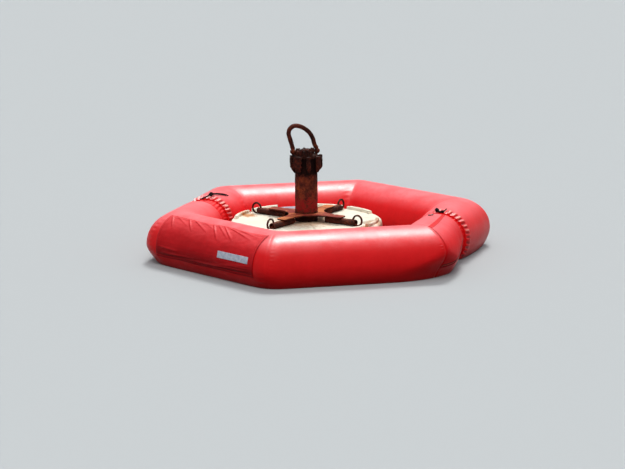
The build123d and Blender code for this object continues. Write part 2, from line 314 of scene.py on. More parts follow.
# rust in scales: colour, roughness and height
rustTints = {
    # place on the ramp from black scale to orange dust, and colour
    "ramp": (
        (0.34, (0.009, 0.004, 0.004, 1)),
        (0.44, (0.035, 0.0095, 0.0075, 1)),
        (0.53, (0.085, 0.018, 0.011, 1)),
        (0.64, (0.220, 0.050, 0.016, 1)),
        (0.76, (0.46, 0.125, 0.030, 1)),
    ),
    "speck": (0.48, 0.135, 0.035, 1),
    "flake": (0.012, 0.005, 0.004, 1),
}
rust, given, result, place = newGroup("rust", {"Orange": 0.4, "Scale": 1.0}, "Colour", "Roughness", "Height")
place = vectorMaths("SCALE", {0: place, "Scale": given["Scale"]})["Vector"]
broad = noiseValue(place, 9.0, 5.0, 0.62)
grain = noiseValue(place, 55.0, 6.0, 0.7)
speck = noiseValue(place, 190.0, 4.0, 0.7)
wander = {"Vector": place, "Scale": 30.0, "Detail": 4.0, "Roughness": 0.7}
wander = addNode("TexNoise", wander).outputs["Color"]
bent = vectorMaths("MULTIPLY_ADD", {0: wander, 1: (0.075, 0.075, 0.075), 2: place})["Vector"]
flakes = addNode("TexVoronoi", {"Vector": bent, "Scale": 21.0, "Randomness": 1.0}, feature="F1")
flake = between(flakes.outputs["Distance"], 0.30, 0.85)
blend = maths("ADD", times(broad, 0.55), times(grain, 0.45))
warmer = times(maths("SUBTRACT", given["Orange"], 0.5), 0.34)
ramp = addNode("ValToRGB", {"Fac": maths("ADD", blend, warmer)})
stops = ramp.color_ramp.elements
stops[0].position, stops[0].color = rustTints["ramp"][0]
stops[1].position, stops[1].color = rustTints["ramp"][-1]
for position, colour in rustTints["ramp"][1:-1]:
    stops.new(position).color = colour
colour = tint(ramp.outputs["Color"], between(speck, 0.56, 0.70), 0.5, rustTints["speck"])
rise = maths("ADD", times(grain, 0.7), times(flake, -0.30))
fill(result, {
    "Colour": tint(colour, flake, 0.45, rustTints["flake"]),
    "Roughness": maths("MULTIPLY_ADD", grain, 0.35, 0.62),
    "Height": maths("ADD", rise, times(speck, 0.25)),
})

# Coated fabric: faded and with a painted sheen on top, painted shade darker towards the bottom, dirty at the
# waterline
ageing = {
    # upward faces fade and get a painted sheen
    "fadeAndSheenAmount": (0.26, 0.46),  # how much it varies, and at least
    "dirt": 0.22,
    # painted shade darker towards the bottom, then a wet scum line at the waterline
    "paintedLowShade": {"Level": 0.035, "Softness": 0.32, "Ragged": 0.05},
    "paintedLowShadeShare": 0.85,
    "wet": {"Level": 0.012, "Softness": 0.030, "Ragged": 0.05},
    "wetShare": 0.50,
}
ringPvc = {
    "red": (0.86, 0.009, 0.012, 1),
    "deep": (0.78, 0.007, 0.009, 1),
    "fadedAndSheen": (0.95, 0.215, 0.240, 1),
    "shaded": (0.34, 0.003, 0.005, 1),
    "scum": (0.16, 0.030, 0.018, 1),
    # painted highlight on the gathered folds, and painted shade between them
    "paintedHighlight": (0.95, 0.60, 0.50, 1),
    "paintedFoldShade": (0.28, 0.004, 0.006, 1),
    "gloss": 0.33,
    "specular": 0.15,
}
# a shaded copy of the ring's cloth: the necks lie in shade, so their tops get almost none of the fading and
# painted sheen
neckPvc = {**ringPvc, "fadedAndSheen": (0.90, 0.040, 0.046, 1), "gloss": 0.55, "specular": 0.10}
bannerPrint = {
    "red": (0.66, 0.010, 0.015, 1),
    "deep": (0.54, 0.007, 0.011, 1),
    "fadedAndSheen": (0.80, 0.065, 0.075, 1),
    "shaded": (0.13, 0.002, 0.003, 1),
    "scum": (0.14, 0.028, 0.017, 1),
    "gloss": 0.48,
    "specular": 0.09,
}
coverCloth = {
    "red": (0.80, 0.012, 0.016, 1),
    "deep": (0.72, 0.009, 0.013, 1),
    "fadedAndSheen": (0.95, 0.200, 0.225, 1),
    "shaded": (0.30, 0.003, 0.005, 1),
    "scum": (0.14, 0.028, 0.017, 1),
    "gloss": 0.50,
    "specular": 0.07,
}
valveCentre = [(low + high) / 2 for low, high in zip(*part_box("inflation_valve"))]
valveMoulding = {
    "red": (0.13, 0.050, 0.050, 1),
    "deep": (0.09, 0.036, 0.036, 1),
    "fadedAndSheen": (0.16, 0.085, 0.085, 1),
    "shaded": (0.08, 0.020, 0.020, 1),
    "scum": (0.05, 0.020, 0.012, 1),
    "gloss": 0.45,
    "specular": 0.35,
    # a red cap inside the grey rim: a spot fades at about 0.7 of its reach
    "cap": (0.70, 0.010, 0.012, 1),
    "capCentre": valveCentre,
    "capReach": 0.019 / 0.7,
}
# the black serves the cover's hem lines and the banner's painted shade
hemDark, hemPale, hemAndShadeBlack = (0.30, 0.004, 0.007, 1), (0.62, 0.20, 0.10, 1), (0.10, 0.002, 0.003, 1)
# seams, fold lines and painted shade by the cloth's own measure: UV axis, low, high, colour, strength
# painted shade over the banner's lower part, in soft steps that read like fold lines
bannerLowShade = ((0.052, 0.28), (0.074, 0.22), (0.098, 0.18), (0.124, 0.12), (0.152, 0.08))
bannerLines = (
    *((1, 0.027, high, hemAndShadeBlack, strength) for high, strength in bannerLowShade),
    (1, 0.000, 0.013, hemDark, 0.45),
    (1, 0.024, 0.027, hemDark, 0.80),
    (1, 0.415, 0.418, hemDark, 0.60),
    (1, 0.440, 0.446, hemDark, 0.50),
    (0, 1.344, 1.347, hemDark, 0.60),
    (0, 1.369, 1.376, hemDark, 0.60),
    (0, 0.026, 0.029, hemDark, 0.60),
)
coverLines = (
    (1, 0.412, 0.452, (0.66, 0.007, 0.011, 1), 0.95),
    (1, 0.409, 0.4125, hemDark, 0.8),
    (1, 0.008, 0.016, hemAndShadeBlack, 0.9),
    (1, 0.020, 0.024, hemPale, 0.8),
    (1, 0.028, 0.036, hemAndShadeBlack, 0.9),
)


def pvcMaterial(name, look, weaveDepth=0.00008, lines=(), worn=False):
    material, shader = newMaterial(name)
    place, surface = objectPlace(), surfacePlace()
    colour = mixColour(grouped(mottle, place, Scale=2.6), look["deep"], look["red"])
    chalk = grouped(mottle, place, Scale=7.0)
    fadeAndSheenAmount = maths("MULTIPLY_ADD", chalk, *ageing["fadeAndSheenAmount"])
    # upward faces fade, with a painted sheen over the fading
    colour = tint(colour, between(facingUp(), 0.45, 0.98), fadeAndSheenAmount, look["fadedAndSheen"])
    colour = tint(colour, grouped(streaks, place, Scale=26.0, Amount=0.10), ageing["dirt"], look["scum"])
    # painted shade, darker towards the bottom
    colour = tint(colour, grouped(tideMark, place, **ageing["paintedLowShade"]), ageing["paintedLowShadeShare"], look["shaded"])
    colour = tint(colour, grouped(tideMark, place, **ageing["wet"]), ageing["wetShare"], look["scum"])
    spread = addNode("SeparateXYZ", {"Vector": surface}).outputs
    for axis, low, high, second, strength in lines:
        above, below = maths("GREATER_THAN", spread[axis], low), maths("LESS_THAN", spread[axis], high)
        colour = tint(colour, times(above, below), strength, second)
    # painted highlight on the gathered folds' tops and painted shade down between them
    if worn:
        paintedFoldLight = addNode("Attribute", attribute_name="paintedFoldLight").outputs["Fac"]
        colour = mixColour(between(paintedFoldLight, 0.5, 1.0), colour, look["paintedHighlight"])
        colour = tint(colour, between(paintedFoldLight, 0.5, 0.05), 0.7, look["paintedFoldShade"])
    if "cap" in look:
        cap = grouped(spot, place, Centre=look["capCentre"], Reach=look["capReach"], Ragged=0.1)
        colour = mixColour(cap, colour, look["cap"])
    cloth = bumped(grouped(weave, surface), weaveDepth, 0.6)
    fill(shader, {
        "Base Color": colour,
        "Roughness": maths("MULTIPLY_ADD", chalk, 0.10, look["gloss"]),
        "Specular IOR Level": look["specular"],
        "Normal": bumped(noiseValue(place, 14.0, 3.0), 0.004, 0.35, Normal=cloth),
    })
    return material


labelFilm = {"silver": (0.40, 0.44, 0.56, 1), "pale": (0.66, 0.67, 0.76, 1), "dirt": (0.17, 0.12, 0.16, 1)}


def labelMaterial():
    material, shader = newMaterial("label film")
    place = surfacePlace()
    patches = grouped(mottle, place, Scale=26.0)
    colour = mixColour(patches, labelFilm["silver"], labelFilm["pale"])
    scuffs = between(noiseValue(place, 60.0, 5.0, 0.7), 0.60, 0.74)
    fill(shader, {
        "Base Color": tint(colour, scuffs, 0.5, labelFilm["dirt"]),
        "Roughness": 0.32,
        "Normal": bumped(noiseValue(place, 40.0, 3.0), 0.0012, 0.5),
    })
    return material


floatShell = {
    "cream": (0.80, 0.735, 0.60, 1),
    "pale": (0.84, 0.79, 0.67, 1),
    "dirt": (0.33, 0.27, 0.20, 1),
    "blueGrey": (0.26, 0.27, 0.36, 1),
    "rustStain": (0.55, 0.24, 0.09, 1),
    "algae": (0.075, 0.085, 0.035, 1),
    "specular": 0.10,
    # stains: centre, reach, strength and colour
    "stains": (
        ((0.66, -0.25, 0.32), 0.130, 0.75, "dirt"),
        ((0.54, -0.28, 0.33), 0.110, 0.70, "dirt"),
        ((0.50, -0.52, 0.33), 0.110, 0.60, "dirt"),
        ((-0.63, -0.20, 0.33), 0.100, 0.30, "dirt"),
        # rust run-off round the post, and painted shade under the deck cross
        ((0.0, -0.05, 0.33), 0.420, 0.62, "rustStain"),
        ((-0.50, 0.37, 0.33), 0.120, 1.0, "rustStain"),
        ((0.60, -0.30, 0.33), 0.130, 0.55, "rustStain"),
        ((0.46, -0.47, 0.33), 0.075, 0.75, "rustStain"),
        ((-0.44, -0.45, 0.33), 0.070, 0.70, "rustStain"),
        ((0.44, 0.43, 0.33), 0.060, 0.60, "rustStain"),
        ((-0.04, 0.67, 0.34), 0.150, 0.90, "blueGrey"),
    ),
    "weed": {"Level": 0.03, "Softness": 0.05, "Ragged": 0.10},
}


def floatMaterial():
    material, shader = newMaterial("float shell")
    place = objectPlace()
    colour = mixColour(grouped(mottle, place, Scale=4.0), floatShell["cream"], floatShell["pale"])
    film = between(noiseValue(place, 5.0, 6.0, 0.65), 0.50, 0.72)
    colour = tint(colour, film, 0.10, floatShell["dirt"])
    for centre, reach, strength, kind in floatShell["stains"]:
        mask = grouped(spot, place, Centre=centre, Reach=reach, Ragged=0.9)
        colour = tint(colour, mask, strength, floatShell[kind])
    runs = times(grouped(streaks, place, Scale=22.0, Amount=0.30), between(facingUp(), 0.6, 0.2))
    colour = tint(colour, runs, 0.5, floatShell["dirt"])
    colour = tint(colour, grouped(tideMark, place, **floatShell["weed"]), 0.92, floatShell["algae"])
    skin = bumped(noiseValue(place, 90.0, 3.0, 0.6), 0.0012, 0.4)
    fill(shader, {
        "Base Color": colour,
        "Roughness": maths("MULTIPLY_ADD", film, 0.2, 0.46),
        "Specular IOR Level": floatShell["specular"],
        "Normal": bumped(noiseValue(place, 6.0, 2.0), 0.010, 0.35, Normal=skin),
    })
    return material


rustPlain = {"orange": 0.36, "scale": 1.0, "depth": 0.004, "paint": 0.0, "topOrange": 0.0, "paintedShade": 0.0}
rustLooks = {
    "head": {"orange": 0.34, "depth": 0.006, "paintedShade": 0.95},
    "lumps": {"scale": 1.3, "depth": 0.005},
    "post": {"orange": 0.56, "paint": 0.92},
    "plate": {"orange": 0.44, "topOrange": 0.92, "depth": 0.003},
    "arm": {"orange": 0.40, "scale": 1.2, "topOrange": 0.25},
    "bail": {"orange": 0.46, "scale": 1.3, "topOrange": 0.10, "depth": 0.003},
    "keel": {},
}
rustColours = {
    "paint": (0.230, 0.011, 0.010, 1),
    "plateTop": (0.74, 0.230, 0.075, 1),
    "plateDark": (0.30, 0.034, 0.023, 1),
    # dry orange patches on the deck cross: centre and reach
    "dryPatches": (((0.17, 0.06, 0.37), 0.17), ((0.27, 0.23, 0.37), 0.16), ((-0.30, -0.27, 0.37), 0.17)),
    # near black for painted shade
    "paintedShade": (0.004, 0.002, 0.002, 1),
    "weed": (0.055, 0.060, 0.025, 1),
    "weedLevel": {"Level": -0.02, "Softness": 0.05, "Ragged": 0.10},
    "specular": 0.08,
    # levels between which the post's paint starts and ends, and its painted shade at the head and under the
    # plate
    "paintHigh": (0.66, 0.48),
    "paintLow": (0.405, 0.440),
    "headShade": (0.735, 0.800),
    "underPlateShade": (0.398, 0.385),
    # distances from the axis between which painted shade darkens the ribs' hollows
    "slabFace": (0.137, 0.121),
}


def plateDust(place, colour, strength):
    worn = between(noiseValue(place, 13.0, 7.0, 0.70), 0.47, 0.66)
    for centre, reach in rustColours["dryPatches"]:
        dry = grouped(spot, place, Centre=centre, Reach=reach, Ragged=0.8)
        worn = maths("MAXIMUM", worn, dry)
    dusty = mixColour(worn, rustColours["plateDark"], rustColours["plateTop"])
    dusty = mixColour(0.2, dusty, colour)
    return tint(colour, between(facingUp(), 0.5, 0.95), strength, dusty)


def postPaint(place, colour, strength):
    height = levelOf(place)
    low = times(*(between(height, *rustColours[edge]) for edge in ("paintHigh", "paintLow")))
    chips = maths("MULTIPLY_ADD", low, 0.10, noiseValue(place, 42.0, 7.0, 0.75))
    left = times(low, between(chips, 0.535, 0.575))
    colour = tint(colour, left, strength, rustColours["paint"])
    patchy = maths("MULTIPLY_ADD", noiseValue(place, 14.0, 4.0, 0.6), 0.20, maths("ADD", height, -0.10))
    # painted shade where the post runs up into the head, and under the plate
    colour = tint(colour, between(patchy, *rustColours["headShade"]), 0.93, rustColours["paintedShade"])
    return tint(colour, between(height, *rustColours["underPlateShade"]), 0.85, rustColours["paintedShade"])


def ribShade(place, colour, strength):
    flat = vectorMaths("MULTIPLY", {0: place, 1: (1.0, 1.0, 0.0)})["Vector"]
    reach = vectorMaths("LENGTH", {0: flat})["Value"]
    # painted shade in the hollows between the ribs
    return tint(colour, between(reach, *rustColours["slabFace"]), strength, rustColours["paintedShade"])


def rustMaterial(name):
    look = {**rustPlain, **rustLooks[name]}
    material, shader = newMaterial(name + " rust")
    place = objectPlace()
    layers = {"Vector": place, "Orange": look["orange"], "Scale": look["scale"]}
    layers = addNode("Group", layers, node_tree=rust).outputs
    colour = layers["Colour"]
    for kind, change in (("topOrange", plateDust), ("paint", postPaint), ("paintedShade", ribShade)):
        if look[kind]:
            colour = change(place, colour, look[kind])
    weed = grouped(tideMark, place, **rustColours["weedLevel"])
    fill(shader, {
        "Base Color": tint(colour, weed, 0.8, rustColours["weed"]),
        "Roughness": layers["Roughness"],
        "Specular IOR Level": rustColours["specular"],
        "Normal": bumped(layers["Height"], look["depth"], 0.8),
    })
    return material


rope = {"black": (0.003, 0.003, 0.004, 1), "worn": (0.012, 0.011, 0.014, 1), "grey": (0.050, 0.046, 0.052, 1)}


def ropeMaterial(name, first, second):
    material, shader = newMaterial(name)
    place = objectPlace()
    fill(shader, {
        "Base Color": mixColour(noiseValue(place, 160.0, 4.0, 0.6), rope[first], rope[second]),
        "Roughness": 0.85,
        "Specular IOR Level": 0.07,
        "Normal": bumped(bands(place, 110.0, 2.5, "DIAGONAL"), 0.0015, 0.8),
    })
    return material


finishes = {
    "ring": pvcMaterial("ring pvc", ringPvc),
    "gathers": pvcMaterial("gathered pvc", ringPvc, worn=True),
    "neck": pvcMaterial("neck cloth", neckPvc),
    "banner": pvcMaterial("banner cloth", bannerPrint, 0.00015, bannerLines),
    "cover": pvcMaterial("cover cloth", coverCloth, 0.00012, coverLines),
    "valve": pvcMaterial("valve moulding", valveMoulding),
    "label": labelMaterial(),
    "float": floatMaterial(),
    "blackRope": ropeMaterial("black rope", "black", "worn"),
    "greyRope": ropeMaterial("grey rope", "worn", "grey"),
    **{name: rustMaterial(name) for name in rustLooks},
}

# Helpers for meshes


def newObject(name, data, body, finish):
    piece = bpy.data.objects.new(name, data)
    scene.collection.objects.link(piece)
    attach(piece, body)
    data.materials.append(finishes[finish])
    return piece


def finishMesh(bm, name, body, finish):
    for face in bm.faces:
        face.smooth = True
    mesh = bpy.data.meshes.new(name)
    bm.to_mesh(mesh)
    bm.free()
    return newObject(name, mesh, body, finish)


def gridPiece(name, along, around, place, finish, uvSize, closed=False, paintedFoldLight=None):
    # place(u, v) gives each grid corner's point, u and v from 0 to 1, and the optional light function how
    # much painted highlight or painted shade it gets
    bm = bmesh.new()
    bmesh.ops.create_grid(bm, x_segments=along, y_segments=around, size=0.5)
    uvLayer = bm.loops.layers.uv.new("surface")
    # colour attribute of painted highlight and painted shade on the gathered folds
    foldLightLayer = bm.loops.layers.float_color.new("paintedFoldLight") if paintedFoldLight else None
    for loop in (loop for face in bm.faces for loop in face.loops):
        u, v = loop.vert.co.x + 0.5, loop.vert.co.y + 0.5
        loop[uvLayer].uv = (u * uvSize[0], v * uvSize[1])
        if paintedFoldLight:
            loop[foldLightLayer] = (paintedFoldLight(u, v),) * 3 + (1.0,)
    for vert in bm.verts:
        vert.co = place(vert.co.x + 0.5, vert.co.y + 0.5)
    if closed:
        bmesh.ops.remove_doubles(bm, verts=bm.verts, dist=1e-5)
    bmesh.ops.recalc_face_normals(bm, faces=bm.faces)
    return finishMesh(bm, name, "inflatable_ring", finish)


def thicken(piece, thickness):
    wall = piece.modifiers.new("wall", "SOLIDIFY")
    wall.thickness = thickness
    wall.offset = -1


def smoothStep(value, low, high):
    t = min(1.0, max(0.0, (value - low) / (high - low)))
    return t * t * (3 - 2 * t)


def bell(distance, width):
    return exp(-((distance / width) ** 2))


def ripple(x, y, z):
    return noise.noise(Vector((x, y, z)))


def roundPoint(angle, size, shift, third):
    # a place for noise that closes on itself round a tube
    return Vector((cos(radians(angle)) * size + shift, sin(radians(angle)) * size, third))


def moveVerts(bm, verts, turn, place, size=(1.0, 1.0, 1.0)):
    bmesh.ops.rotate(bm, verts=verts, cent=(0, 0, 0), matrix=turn)
    bmesh.ops.scale(bm, verts=verts, vec=size)
    bmesh.ops.translate(bm, verts=verts, vec=place)


def ringCorner(angle, radius=ring["side"]):
    x, y = ring["centre"]
    return Vector((x + radius * cos(radians(angle)), y + radius * sin(radians(angle)), 0.0))


# Ring tubes: one skin for each section, mapped round the hexagon's corners

print("ring tubes")

# a section's sides are numbered from 0, which runs back from its first corner, to 3
sections = {
    "near": {
        "corners": (180, 240, 300),
        # reach and radius of the two laced ends, by the number of the side
        "ends": {
            0: (lacings["left"]["nearEnd"], lacings["left"]["nearRadius"]),
            3: (lacings["right"]["nearEnd"], lacings["right"]["nearRadius"]),
        },
        "around": 216,
    },
    "far": {
        "corners": (0, 60, 120),
        "ends": {
            0: (ring["side"] - lacings["right"]["farEnd"], lacings["right"]["farRadius"]),
            3: (ring["side"] - lacings["left"]["farEnd"], lacings["left"]["farRadius"]),
        },
        "around": 128,
    },
}
# rows of the skin: their distances from a seam, where even rows start, and how far those are apart
skinRows = {
    "seam": (0.003, 0.008, 0.016, 0.023, 0.0245, 0.030, 0.042, 0.058, 0.076),
    "even": 0.095,
    "apart": 0.022,
}
seams = {
    "groove": (0.0022, 0.008),  # depth and width
    "tape": (0.0006, 0.022, 0.006),  # height, distance and width of its edge
    # how deep each corner's tape lies, by the corner's angle
    "share": {180: 0.6, 240: 0.5, 300: 1.6, 0: 0.7, 60: 0.3, 120: 0.4},
}
# puckers beside the seams: side number, distance along it, spread, angle round the tube, range,
# degrees from one to the next, and height
puckers = {
    "near": (
        (2, 1.353, 0.009, 24, 12, 5, 0.0060),
        (3, 0.050, 0.030, -25, 20, 8, 0.0018),
        (2, 0.042, 0.014, 12, 34, 7, 0.0016),
        (1, 1.330, 0.030, -30, 30, 9, 0.0022),
        (1, 0.060, 0.025, 20, 50, 9, 0.0018),
    ),
    "far": (
        (1, 0.060, 0.035, 30, 40, 10, 0.0025),
        (2, 0.060, 0.035, 150, 40, 10, 0.0020),
        (3, 0.060, 0.035, 160, 40, 10, 0.0020),
    ),
}


def sideLength(name, number):
    ends = sections[name]["ends"]
    return ends[number][0] if number in ends else ring["side"]


def tubeStations(name):
    # side number and distance of each row, close together at the mitred corners
    stations = []
    for number in range(4):
        length = sideLength(name, number)
        first = skinRows["even"] if number > 0 else 0.0
        last = length - skinRows["even"] if number < 3 else length
        steps = round((last - first) / skinRows["apart"])
        places = {first + (last - first) * step / steps for step in range(steps + 1)}
        if number > 0:
            places.update((0.0, *skinRows["seam"]))
        if number < 3:
            places.update(length - offset for offset in skinRows["seam"])
        stations += [(number, place if number else length - place) for place in sorted(places)]
    return stations


def tubeRadius(name, number, reach):
    # a little fuller than a straight taper
    if number not in sections[name]["ends"]:
        return ring["tube"]
    endReach, endRadius = sections[name]["ends"][number]
    share = min(1.0, (reach - ring["taperStart"]) / (endReach - ring["taperStart"]))
    if share <= 0:
        return ring["tube"]
    return ring["tube"] + (endRadius - ring["tube"]) * share + ring["taperSwell"] * sin(pi * share)


def endDome(name, number, distance):
    if name == "far" or number not in sections[name]["ends"]:
        return 0.0
    along = ring["dome"]["along"]
    share = min(1.0, max(0.0, (distance - sideLength(name, number) + along) / along))
    return ring["dome"]["drop"] * (1 - sqrt(1 - share * share))


def softness(cornerAngle, turn):
    top, outer, low, first, last = ring["cornerSoftness"][cornerAngle % 360]
    outward = max(0.0, cos(turn))
    sagging = smoothStep(-sin(turn), first, last)
    return top + (outer - top) * outward ** 1.5 + (low - outer) * outward ** 0.5 * sagging


def softCorner(cornerAngle, soft, gap, towards, offset):
    # rounds the mitre in plan with a quadratic curve, from the side that towards points along
    tip = ringCorner(cornerAngle, ring["side"] + offset / cos(radians(30)))
    inward = (ringCorner(cornerAngle) - ringCorner(0, 0)).normalized()
    mirrored = inward * towards.dot(inward) * 2 - towards
    t = 0.5 * (1 + gap / soft)
    return (tip + mirrored * soft) * (1 - t) ** 2 + tip * 2 * t * (1 - t) + (tip + towards * soft) * t * t


def tubePoint(name, number, distance, angle, lift=0.0):
    # distance runs from the side's first corner, angle up from the outer side
    turn, way = radians(angle), 1 if number else -1
    cornerAngle = sections[name]["corners"][max(0, number - 1)]
    corner = ringCorner(cornerAngle)
    onward = (ringCorner(cornerAngle + 60 * way) - corner).normalized()
    outward = Vector((onward.y, -onward.x, 0)) * way
    radius = tubeRadius(name, number, distance)
    middle = ring["level"] + ring["tube"] - radius
    radius += lift - endDome(name, number, distance)
    offset = radius * cos(turn)
    length = sideLength(name, number)
    stretch = ring["tube"] * cos(turn) * tan(radians(30))
    last = length + (stretch if number in (1, 2) else 0.0)
    reach = -stretch + (last + stretch) * distance / length
    place = corner + onward * reach + outward * offset
    nextAngle = (cornerAngle + 60) % 360
    soft, nextSoft = softness(cornerAngle, turn), softness(nextAngle, turn)
    if reach + stretch < soft:
        place = softCorner(cornerAngle, soft, reach + stretch, onward, offset)
    elif number in (1, 2) and last - reach < nextSoft:
        place = softCorner(nextAngle, nextSoft, last - reach, -onward, offset)
    return Vector((place.x, place.y, middle + radius * sin(turn)))


def tubeLift(name, number, distance, angle):
    # seam tape, puckers beside the seams and slow waves
    cornerAngle = sections[name]["corners"][max(0, number - 1)]
    gap = distance
    if number in (1, 2) and ring["side"] - distance < gap:
        gap, cornerAngle = ring["side"] - distance, (cornerAngle + 60) % 360
    seam = seams["share"][cornerAngle]
    (depth, width), (edgeHeight, edgePlace, edgeWidth) = seams["groove"], seams["tape"]
    lift = -depth * seam * bell(gap, width)
    lift += edgeHeight * seam * bell(gap - edgePlace, edgeWidth)
    for side, middle, spread, level, reach, pitch, height in puckers[name]:
        along, across = (distance - middle) / spread, (angle - level) / reach
        if side == number and abs(across) < 1 and abs(along) < 3:
            wave = cos(2 * pi * (angle - level) / pitch)
            lift += height * wave * exp(-along * along) * (1 - across * across)
    turn, (height, along, across) = radians(angle), ring["waves"]
    return lift + height * ripple(number * 7.0 + distance * along, cos(turn) * across, sin(turn) * across)


def buildTube(name):
    section, rounding = sections[name], ring["endRounding"]
    # the last rows turn in over the end's rounding and down its flat face: over and drop of each
    turns = [radians(90 * step / 4) for step in range(1, 5)]
    caps = [(rounding * sin(turn), rounding * (1 - cos(turn))) for turn in turns]
    caps += [(rounding, drop) for drop in (*ring["endDrops"], None)]
    ends = {number: sideLength(name, number) - rounding for number in section["ends"]}
    rows = [(0, ends[0], cap) for cap in reversed(caps)] + [(0, ends[0], None)]
    rows += [(number, at, None) for number, at in tubeStations(name) if at <= ends.get(number, at)]
    rows += [(3, ends[3], None)] + [(3, ends[3], cap) for cap in caps]

    def place(u, v):
        number, reach, cap = rows[round(u * (len(rows) - 1))]
        angle = v * 360.0 - 90.0
        if not cap:
            return tubePoint(name, number, reach, angle, tubeLift(name, number, reach, angle))
        over, drop = cap
        lift = tubeLift(name, number, reach, angle) if drop and drop <= rounding else 0.0
        if drop is None:
            drop = section["ends"][number][1] - endDome(name, number, reach + rounding)
        return tubePoint(name, number, reach + over, angle, lift - drop)

    uvSize = (sideLength(name, 0) + 2 * ring["side"] + sideLength(name, 3), ring["girth"])
    along, around = len(rows) - 1, section["around"]
    piece = gridPiece(name + "_tube", along, around, place, "ring", uvSize, closed=True)
    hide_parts(name + "_section")
    return piece


nearTube = buildTube("near")
buildTube("far")

# Laced joints: gathered collar of the far tube and the sunken neck

print("lacings")

gathers = {
    "count": 34,
    "rows": 16,
    "innerRows": 3,
    "columns": 16,
    "length": 0.060,
    "drop": 0.024,
    "height": 0.0150,
    "overlap": 0.026,
    "slant": 4.0,
    "unevenPitch": 3.0,
    # the right lacing's folds lie flat on its inner side: starts, is flat, ends, is full again
    "flat": {"right": (96, 116, 196, 216), "left": None},
}
neck = {"folds": 34, "crimp": 0.003, "waist": 0.010, "creases": (0.004, 0.0025)}


def foldHeight(name, angle):
    flat = gathers["flat"][name]
    if not flat:
        return 1.0
    return 1 - 0.85 * smoothStep(angle, flat[0], flat[1]) * (1 - smoothStep(angle, flat[2], flat[3]))


def lacePoint(lacing, reach, radius, angle, rimRadius):
    # angle up from the right-hand side of the laced leg
    turn = radians(angle)
    place = ringCorner(lacing["corner"]) + laceHeading * reach - laceLeft * (radius * cos(turn))
    place.z = ring["level"] + ring["tube"] - rimRadius + radius * sin(turn)
    return place


def buildCollar(name):
    lacing, rows, inner = lacings[name], gathers["rows"], gathers["innerRows"]
    rim = lacing["farRadius"]
    start = lacing["farEnd"] - gathers["length"]
    length = gathers["length"] + gathers["overlap"]
    seed = lacing["corner"] * 0.37

    def gatherWave(angle, share):
        bent = gathers["unevenPitch"] * ripple(seed, angle * 0.11, 3.0)
        return 0.5 + 0.5 * cos(radians((angle + gathers["slant"] * share + bent) * gathers["count"]))

    def place(u, v):
        row, angle = u * rows, v * 360.0
        share = max(0.0, (row - inner) / (rows - inner))
        if row < inner:
            depth = (inner - row) / inner
            drop = gathers["drop"] + (ring["neckInset"] - gathers["drop"] + 0.004) * depth
            reach = start + 0.006 * depth
            strength = 0.55 * (1 - depth)
        else:
            reach = start + length * share
            drop = gathers["drop"] * (1 - min(1.0, share * length / gathers["length"])) ** 1.3
            strength = 0.55 + 0.45 * sin(pi * min(1.0, share * 1.25) ** 0.8)
            strength *= 1 - smoothStep(share, 0.66, 1.0)
        uneven = 0.80 + 0.9 * noise.noise(roundPoint(angle, 11, seed, 0))
        ridge = gatherWave(angle, share) ** 1.2
        lift = gathers["height"] * strength * uneven * (ridge - 0.35) * foldHeight(name, angle)
        past = max(0.0, reach - lacing["farEnd"])
        grow = 0.0012 + past * 0.10 * (ring["tube"] - rim) / 0.05
        return lacePoint(lacing, reach, rim - drop + lift + grow, angle, rim)

    def paintedFoldLight(u, v):
        # painted highlight on the upper sides of the folds, painted shade down between them: 0.5 is plain
        angle = v * 360.0
        share = max(0.0, (u * rows - inner) / (rows - inner))
        wave = gatherWave(angle, share)
        upper = smoothStep(sin(radians(angle)), -0.1, 0.8)
        band = exp(-(((share - 0.42) / 0.34) ** 4))
        patchy = 0.62 + 0.75 * noise.noise(roundPoint(angle, 9, 0, seed))
        worn = 0.5 * patchy * wave ** 1.6 * upper - 0.5 * (1 - wave) ** 2
        return 0.5 + band * worn * foldHeight(name, angle)

    around, size = gathers["count"] * gathers["columns"], (length, 2 * pi * rim)
    return gridPiece(name + "_collar", rows, around, place, "gathers", size, True, paintedFoldLight)


def buildNeck(name):
    lacing = lacings[name]
    start = lacing["nearEnd"] - ring["endRounding"] + 0.001
    end = lacing["farEnd"] - gathers["length"] + 0.010
    seed = lacing["corner"] * 0.11
    broad, fine = neck["creases"]

    def place(u, v):
        rim = lacing["nearRadius"] + (lacing["farRadius"] - lacing["nearRadius"]) * u
        angle = v * 360.0
        around = roundPoint(angle, 2, seed, u * 0.8)
        fold = noise.noise(around * 2.3) * broad + noise.noise(around * 6.0) * fine * (0.3 + u)
        crimp = cos(radians((angle + 3 * noise.noise(around * 1.5)) * neck["folds"]))
        lift = fold + neck["crimp"] * crimp * smoothStep(u, 0.25, 1.0) - neck["waist"] * sin(pi * u)
        return lacePoint(lacing, start + (end - start) * u, rim - ring["neckInset"] + lift, angle, rim)

    return gridPiece(name + "_neck", 18, 300, place, "neck", (end - start, 1.4), closed=True)


collars = {name: buildCollar(name) for name in lacings}
necks = {name: buildNeck(name) for name in lacings}
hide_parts("gathered_collars")
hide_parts("neck_bands")

# Panels on the ring: banner, label and cover

print("panels")

